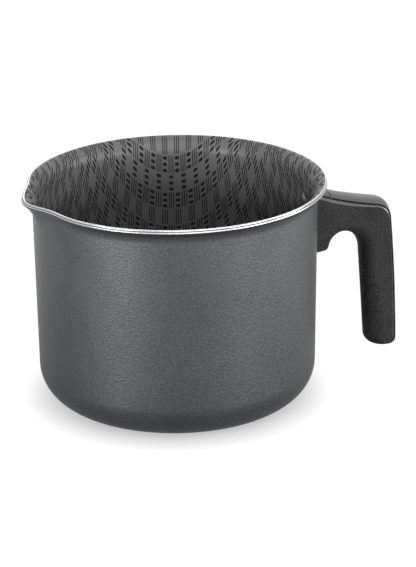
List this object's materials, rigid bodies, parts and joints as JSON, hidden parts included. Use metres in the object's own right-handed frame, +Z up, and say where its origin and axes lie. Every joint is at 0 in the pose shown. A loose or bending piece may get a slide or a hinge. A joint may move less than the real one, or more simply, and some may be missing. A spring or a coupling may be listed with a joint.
{
  "type": "milk boiler",
  "caption": "Deep round aluminium milk pot with a flared pouring rim, a pouring lip and a hook-shaped heat-resistant handle riveted to its side.",
  "frame": {"origin": "centre of the pot's flat base, on the surface it stands on", "axes": "+X towards the handle, +Z up the pot's axis, +Y to the left when looking from the pot towards the handle"},
  "size_m": [0.1948, 0.1496, 0.112],
  "materials": {
    "graphite_coat": "drawn sheet with a fine-grained graphite coat",
    "phenolic": "moulded, satin black",
    "steel": "zinc plated",
    "rivet_aluminium": "bare"
  },
  "bodies": {
    "root": {"pot": "graphite_coat", "handle": "phenolic", "handle_bracket": "steel", "handle_screw": "steel", "spring_washer": "steel", "square_nut": "steel", "upper_rivet": "rivet_aluminium", "lower_rivet": "rivet_aluminium"}
  },
  "joints": []
}
